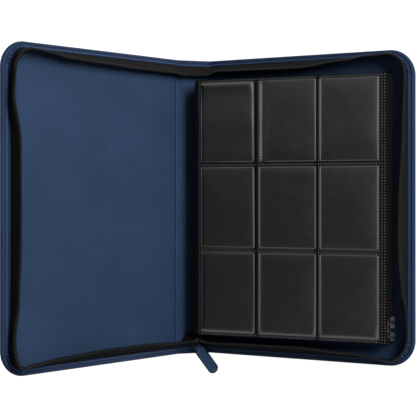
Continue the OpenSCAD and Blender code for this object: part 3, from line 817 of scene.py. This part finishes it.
def leaf(i):
    """One welded leaf. The first, which shows, has finer lines and fuller pockets than those below it."""
    fine = (0, 0.4, 1.2, 2.4, 4.5, 10, 20)
    if i == 1:
        fine = (0, 0.25, 0.5, 0.8, 1.2, 1.7, 2.3, 3.0, 4.0, 5.5, 8, 12, 18, 25)
    tail = [0.3, 1.2, 2.1] + [LEAF_L - v for v in (7.4, 5, 2, 1.2, 0.8, 0.4, 0)]
    xs = np.array(leaf_lines(CREASE_MARGIN, POCKET_W, WELD_W, tail, fine))
    ys = np.array(leaf_lines(END_MARGIN, POCKET_H, WELD_H, [0, 1.4, LEAF_H - 1.4, LEAF_H], fine)) - LEAF_H / 2
    if i == 1:                    # more lines up the pockets of the top row, and on the rest at the crumpled corner
        more = np.arange(END_MARGIN + 2 * ROW + 1 - LEAF_H / 2, LEAF_H / 2 - END_MARGIN - 1, 0.8)
    else:
        more = np.arange(2.03, 30, 0.9) - LEAF_H / 2
    ys = np.array(sorted({*ys, *(round(v, 3) for v in more)}))
    if i == 1:
        ys = ys[np.concatenate([[True], np.diff(ys) > 0.02])]
    gx, gy = np.meshgrid(xs, ys, indexing="ij")
    rise, inside = pockets(i, gx, gy)
    limit = LEAF_H / 2 - (2 - np.sqrt(np.maximum(0, 4 - np.clip(gx - (LEAF_L - 2), 0, 2) ** 2)))
    gy = np.where(abs(gy) > LEAF_H / 2 - 0.01, np.sign(gy) * limit, gy)
    # the loose leaves lie unevenly: how far the free edge stands out beyond its place in the even stagger
    beyond = 0.35 * math.sin(2.4 * i) - 0.09 * (i - 1) + (0.9 if 8 <= i <= 12 else -0.35 if 5 <= i <= 7 else 0.0)
    out = (beyond if i > 1 else 0.0) * np.clip(gx / LEAF_L, 0, 1)
    # and their edges are crumpled together near the lower corner
    across = crease_x(i) + (gx + out)
    corner = bell(across, LEAF_L + 7.5, 4.5) * bell(gy, 15 - LEAF_H / 2, 11)
    crumple = corner * (0.25 + 0.45 * (1 - abs(np.sin((gy + 1.3 * across) / 2.6)))
                        + 0.5 * (1 - abs(np.sin((gy - 0.8 * across) / 3.7 + 0.7))))
    fullness = 0.75 if i == 1 else 0.16
    hi = CORE_T / 2 + rise * fullness + 0.16 * bell(gx, LEAF_L - 0.5, 0.35) + crumple
    lo = -CORE_T / 2 - rise * 0.14 + crumple
    # slots: pocket film 0, welds 1, and 2, a near-black film as painted shade, in the channels right of the first two
    # columns
    film_cells = inside[:-1, :-1] | inside[1:, 1:] | inside[1:, :-1] | inside[:-1, 1:]
    dark = np.zeros(len(xs) - 1, bool)
    middle = (xs[1:] + xs[:-1]) / 2
    for c, seam_w in ((0, 1.4), (1, 3.2)):
        edge = CREASE_MARGIN + c * COLUMN + POCKET_W
        dark |= (middle > edge - 3) & (middle < edge + seam_w)
        if i == 1:
            film_cells[(xs[1:] > edge - 0.75 * SET_IN[c]) & (xs[:-1] < edge + 0.5)] = False
    if i > 1:
        film_cells |= corner[:-1, :-1] > 0.2
    slots = np.where(film_cells, 0, np.where(dark, 2, 1)[:, None])
    ob = make(f"pocket_leaf_{i:02d}", on_leaf(i, gx, gy, np.array([hi, lo]), out), sheet_faces(*gx.shape),
              [pocket_look, weld_look, seam_shade_look], uv=grid([gx, gx], gy), sharp=60)
    paint(ob, np.repeat(slots.ravel(), 2), rest=1)
    return ob


def weld_dots(radius=0.8, height=0.25):
    """Small pressed domes in one row along each weld strip of the top leaf."""
    row_x = np.arange(CREASE_MARGIN + 1, LEAF_L - 9.5, 3.1)
    column_y = np.arange(3.5, LEAF_H - 3, 3.2) - LEAF_H / 2
    rows = [LEAF_H / 2 - 0.5 * END_MARGIN, 0.5 * END_MARGIN - LEAF_H / 2]
    rows += [END_MARGIN + k * ROW - 0.62 * WELD_H - LEAF_H / 2 for k in (1, 2)]
    columns = [CREASE_MARGIN + k * COLUMN - 0.35 * WELD_W for k in (1, 2)]
    centres = [(x, y) for y in rows for x in row_x if min(abs(x - c) for c in columns) > 2.4]
    centres += [(x, y) for x in columns for y in column_y]
    a = np.arange(8) * math.pi / 4
    share, rise = np.array([(1.0, -0.32), (1.0, 0.0), (0.82, 0.34), (0.55, 0.72), (0.22, 0.96)]).T[..., None]
    parts = Parts()
    for x, y in centres:
        dome = on_leaf(1, x + radius * share * np.cos(a), y + radius * share * np.sin(a), CORE_T / 2 + height * rise)
        parts.add(dome, ring_faces(len(share), len(a)))
    return parts.make("leaf_01_weld_dots", [pocket_look])


for i in range(1, LEAF_COUNT + 1):
    attach(leaf(i), "page_film", f"leaf_{i:02d}", nodes=[f"leaf_{i:02d}"])
attach(weld_dots(), "page_film", "leaf_01")

# ---- soft cover over the leaves' bound edges, ribbed where they press through: outer and inner line of its section
outer = [(0.34, 4.6), (0.2, 7.0), (-0.5, 12.0), (-1.4, 18.0), (-2.3, 24.0), (-3.1, 29.0), (-3.6, 32.4),
         (-3.55, 34.2), (-3.1, 35.5), (-2.4, 36.1), (-1.9, 36.1), (-1.5, 36.8), (-1.05, 36.85), (-0.7, 36.1),
         (-0.3, 36.1), (0.1, 36.85), (0.5, 36.9), (0.8, 36.2), (1.1, 36.25), (1.4, 36.95), (1.65, 36.95),
         (1.9, 36.7), (2.1, 36.4)]
inner = [(0.5, 4.6), (0.5, 7.0), (0.2, 12.0), (-0.5, 18.0), (-1.4, 24.0), (-2.1, 29.0), (-2.5, 32.2), (-2.4, 34.0),
         (-2.1, 35.0), (-1.6, 35.6), (-1.3, 35.7), (-0.9, 35.9), (-0.6, 35.9), (-0.3, 35.8), (0.0, 35.8),
         (0.3, 36.1)] + [(x, 36.3) for x in (0.6, 0.9, 1.2, 1.5, 1.7, 1.9, 2.1)]
x, z = np.array(outer + inner[::-1]).T
y = np.linspace(-LEAF_H / 2 + 0.3, LEAF_H / 2 - 0.3, 90)[:, None]
bulge = np.clip(-x / 3.6, 0, 1)
slack = 1 - smooth((LEAF_H / 2 - abs(y)) / 7)                  # the ends hang looser
pts = grid(HINGE_X + x + bulge * (0.35 * np.sin(y / 19 + 0.6) + 0.2 * np.sin(y / 7.3) + 1.3 * slack), y,
           z - np.clip((z - 33) / 3.5, 0, 1) * slack * 0.25)
wrap = make("binding_wrap", pts * MM, ring_faces(len(y), len(x)), [binding_look])
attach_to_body(wrap, "back_cover")
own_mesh(wrap)

# ---- leather pull tab
eye_y = (-(CHAIN_T + 2 * RUNNING_GAP) / 2 - PLATE_T - SEAT - BRIDGE_R + WIRE_D / 2 + 2 * RUNNING_GAP + RING_PLAY)
on_tab = (Matrix.Translation((HINGE_X, 0, PANEL_T)) @ Matrix.Rotation(math.radians(SPINE_TILT), 4, "Y")
          @ Matrix.Translation((MID, CHAIN_INSET - HALF_H, SEAT))
          @ Matrix.Translation((0, eye_y, SLIDER_REST + SLIDER_L / 2))
          @ Matrix.Rotation(math.radians(RING_DROP), 4, "X") @ Matrix.Translation((0, -RING_R, 0))
          @ Matrix.Rotation(math.radians(TAB_TURN), 4, "Z"))


def in_tab(points):
    """Points drawn round the pull ring's centre, the tab along -y, to the row frame."""
    rows = np.array(on_tab)
    return (points @ rows[:3, :3].T + rows[:3, 3]) * MM


def apart(y):
    """Half the gap between the tab's two leathers, which stand off where the ring lies between them."""
    return 0.93 - 0.9 * smooth((-5.2 - y) / 3.4)


# right half of the tab's outline, from the top's middle to the tip, and the outward directions there
tip_y, r = -(RING_R - RUNNING_GAP + TAB_L), TAB_W / 2 + 0.4     # the painted edges stand a little proud
line = [(0.0, 0.4), (1.2, 0.4), (2.4, 0.36), (3.3, 0.2), (3.95, -0.25), (4.3, -1.0), (4.4, -2.2), (4.45, -3.2)]
line += [(4.4 + (r - 4.4) * smooth((-3.4 - y) / 4.2), y) for y in np.linspace(-3.9, -7.6, 7)]
line += [(r, y) for y in np.linspace(-9.0, tip_y + r, 13)]
line += [(r * math.cos(a), tip_y + r - r * math.sin(a)) for a in np.linspace(0, math.pi / 2, 12)[1:]]
outline = np.array(line)
d = unit(np.gradient(outline, axis=0))
outward = grid(-d[:, 1], d[:, 0])
outward[0], outward[-1] = (0, 1), (0, -1)

# section of one leather: (distance in from its outline, height), first its inner side, then the edge, groove and face
TAB_SECTION = [(3.4, 0.0), (0.0, 0.0), (0.0, 0.45), (0.15, 0.75), (0.5, 0.98), (0.9, 1.04), (1.2, 0.96), (1.4, 0.55),
               (1.75, 0.35), (2.1, 0.55), (2.3, 0.96), (2.8, 1.06), (3.4, 1.1)]
LEATHER_T, GROOVE_IN = 0.85, 1.75

parts, slots = Parts(), []
for side in (1, -1):                                # front and back leather
    rings = []
    for e, z in TAB_SECTION:
        q = outline - outward * e
        q[:, 0] = np.maximum(q[:, 0], 0)
        half = np.column_stack([q, apart(q[:, 1]) + LEATHER_T * z])
        rings.append(np.concatenate([half, half[1:-1][::-1] * [-1, 1, 1]]))
    m = len(rings[0])
    faces = ring_faces(len(rings), m)[:-2]
    slots += [int(1 <= k // m <= 9) for k in range(len(faces))]      # the cut edge is painted dark as real edge paint, which runs on over the stitched groove as painted shade
    for first in (0, (len(rings) - 1) * m):         # the flat sides, in rows across
        for j in range(len(outline) - 1):
            quad = dict.fromkeys([first + j, first + j + 1, first + m - j - 1, first + (m - j) % m])
            faces.append(tuple(quad))
            slots.append(0)
    parts.add(np.concatenate(rings) * [1, 1, side], faces)
a = np.linspace(0, 2 * math.pi, 17)[:-1]
fold = [grid(x, -0.35 + 0.72 * k * np.cos(a), 1.75 * k * np.sin(a))
        for x, k in ((-3.0, 0.82), (-2.7, 1.0), (2.7, 1.0), (3.0, 0.82))]
parts.add(fold, ring_faces(len(fold), len(a)))
tab = parts.make("leather_pull_tab", [tab_look, edge_paint_and_shade_look], in_tab)
paint(tab, slots)
attach(tab, "leather_skin", "pull_tab", nodes=["pull_tab"])

parts = Parts()
seam = outline - outward * GROOVE_IN
seam = seam[seam[:, 1] < -6.6]
run = np.concatenate([[0], np.cumsum(np.linalg.norm(np.diff(seam, axis=0), axis=1))])
top_x, top_y = seam[0]
for side in (1, -1):
    for s0 in np.arange(0.3, run[-1] - 0.4, 2.3):
        x, y = (np.interp([s0, s0 + 1.7], run, v) for v in seam.T)
        z = side * (apart(y) + LEATHER_T * 0.5)
        for flip in (1, -1):
            a, b = grid(flip * x, y, z)
            parts.add_stitches([a], [b], 0.26, side)
    x = np.arange(0.6 - top_x, top_x - 1.2, 2.1)
    top = grid(x, top_y, side * (apart(top_y) + LEATHER_T * 1.04))
    parts.add_stitches(top, top + [1.5, 0, 0], 0.26, side)
attach(parts.make("pull_tab_stitches", [pale_look], in_tab), "leather_skin", "pull_tab")

# ---- CAD nodes that stay, with their materials
for material, nodes in (
        (board_look, ["back_board", "front_board", "spine_board"]), (binding_look, ["binding_block"]),
        (cloth_look, ["binding_cloth"]), (coil_look, ["zipper_chain_start"]),
        (metal_look, ["slider_body", "slider_bridge", "pull_ring"])):
    for node in nodes:
        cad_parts[node].data.materials.clear()
        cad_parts[node].data.materials.append(material)
for node, width in (("slider_body", 0.35), ("zipper_chain_start", 0.12)):
    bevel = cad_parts[node].modifiers.new("soft_edges", "BEVEL")
    bevel.width, bevel.segments, bevel.limit_method, bevel.angle_limit = width * MM, 3, "ANGLE", math.radians(35)

# ---- camera, floor and light
VIEW_TURN = math.radians(27.4)
right = Vector((math.cos(VIEW_TURN), 0, -math.sin(VIEW_TURN)))
back = Vector((math.sin(VIEW_TURN), 0, math.cos(VIEW_TURN)))
up = Vector((0, 1, 0))
eye = Vector((HINGE_X, 0, 2.0)) - 2.37 * right + 13.4 * up + 1310.9 * back
cam_data = bpy.data.cameras.new("camera")
cam_data.sensor_width, cam_data.lens, cam_data.shift_y = 36, 95.77, -0.0298
cam_data.clip_start, cam_data.clip_end = 0.05, 50
cam = bpy.context.scene.camera = add_object("camera", cam_data)
cam.matrix_world = Matrix.Translation(eye * MM) @ Matrix((right, up, back)).transposed().to_4x4()


paper = bpy.data.materials.new("floor_paper")
n = Nodes(paper)
n.tree.nodes.clear()
# 1 for rays from the camera, which see the white background, less for a mirror's and 0 for the light itself
path = n.node("LightPath", {}).outputs
seen = n.either(path["Is Camera Ray"], n.times(path["Is Glossy Ray"], 0.45))
seen = n.either(seen, path["Is Transmission Ray"])
grey = n.first("MapRange", {0: seen, 3: 0.86, 4: 0.22})
matt = n.first("BsdfDiffuse", {"Color": n.first("CombineColor", {0: grey, 1: grey, 2: grey})})
glow = n.first("Emission", {"Strength": n.times(seen, 0.995)})
n.node("OutputMaterial", {0: n.first("AddShader", {0: matt, 1: glow})})
floor = bpy.data.meshes.new("floor")
floor.from_pydata([(x, y, -0.0003) for x, y in ((-8, -8), (8, -8), (8, 8), (-8, 8))], [], [(0, 1, 2, 3)])
floor.materials.append(paper)
add_object("floor", floor)

world = bpy.context.scene.world = bpy.data.worlds.new("studio")
n = Nodes(world)
n.tree.nodes.clear()
# a ring of soft panels overhead, which only mirrors see: its dark middle lies where flat pages mirror
heading = n.coords("Generated")
tilt = n.node("VectorMath", {0: heading, 1: Vector((-0.29, 0.0, 0.957))}, operation="DOT_PRODUCT").outputs["Value"]
ring = n.ramp(tilt, [(0.2, 0.12), (0.45, 0.25), (0.62, 0.95), (0.86, 1.0), (0.95, 0.3), (0.985, 0.14), (1.0, 0.1)])
level = n.first("MapRange", {0: n.node("SeparateXYZ", {0: heading}).outputs["Y"], 1: -0.5, 2: 0.5})
fade = n.ramp(level, [(0.0, 0.4), (0.3, 0.55), (0.5, 0.62), (0.6, 1.0), (0.7, 0.95), (1.0, 0.4)])
path = n.node("LightPath", {}).outputs
mirrored = n.first("MapRange", {0: path["Is Glossy Ray"], 3: 0.02, 4: n.times(n.times(ring, fade), 2.7)})
direct = n.either(path["Is Camera Ray"], path["Is Transmission Ray"])
strength = n.first("MapRange", {0: direct, 3: mirrored, 4: 1.0})
n.node("OutputWorld", {0: n.first("Background", {"Color": (1, 1, 1, 1), "Strength": strength})})

for name, direction, distance, size, power in (
        ("key", (0.85, 0.55, 0.42), 1.5, (1.0, 0.45), 27.4), ("fill", (0.35, -0.5, 0.79), 1.8, (0.6, 0.6), 1.6),
        ("behind", (-0.95, 0.0, 0.31), 1.8, (0.5, 0.5), 22.0)):
    lamp = bpy.data.lights.new(name, "AREA")
    lamp.shape, lamp.energy = "RECTANGLE", power
    lamp.size, lamp.size_y = size
    ob = add_object(name, lamp)
    direction = Vector(direction).normalized()
    ob.location = Vector((-0.06, 0, 0.08)) + direction * distance
    ob.rotation_euler = direction.to_track_quat("Z", "Y").to_euler()
    ob.visible_glossy = False                      # films and metal mirror the soft panels, not the bare lamps

bpy.context.scene.view_settings.view_transform = "Standard"
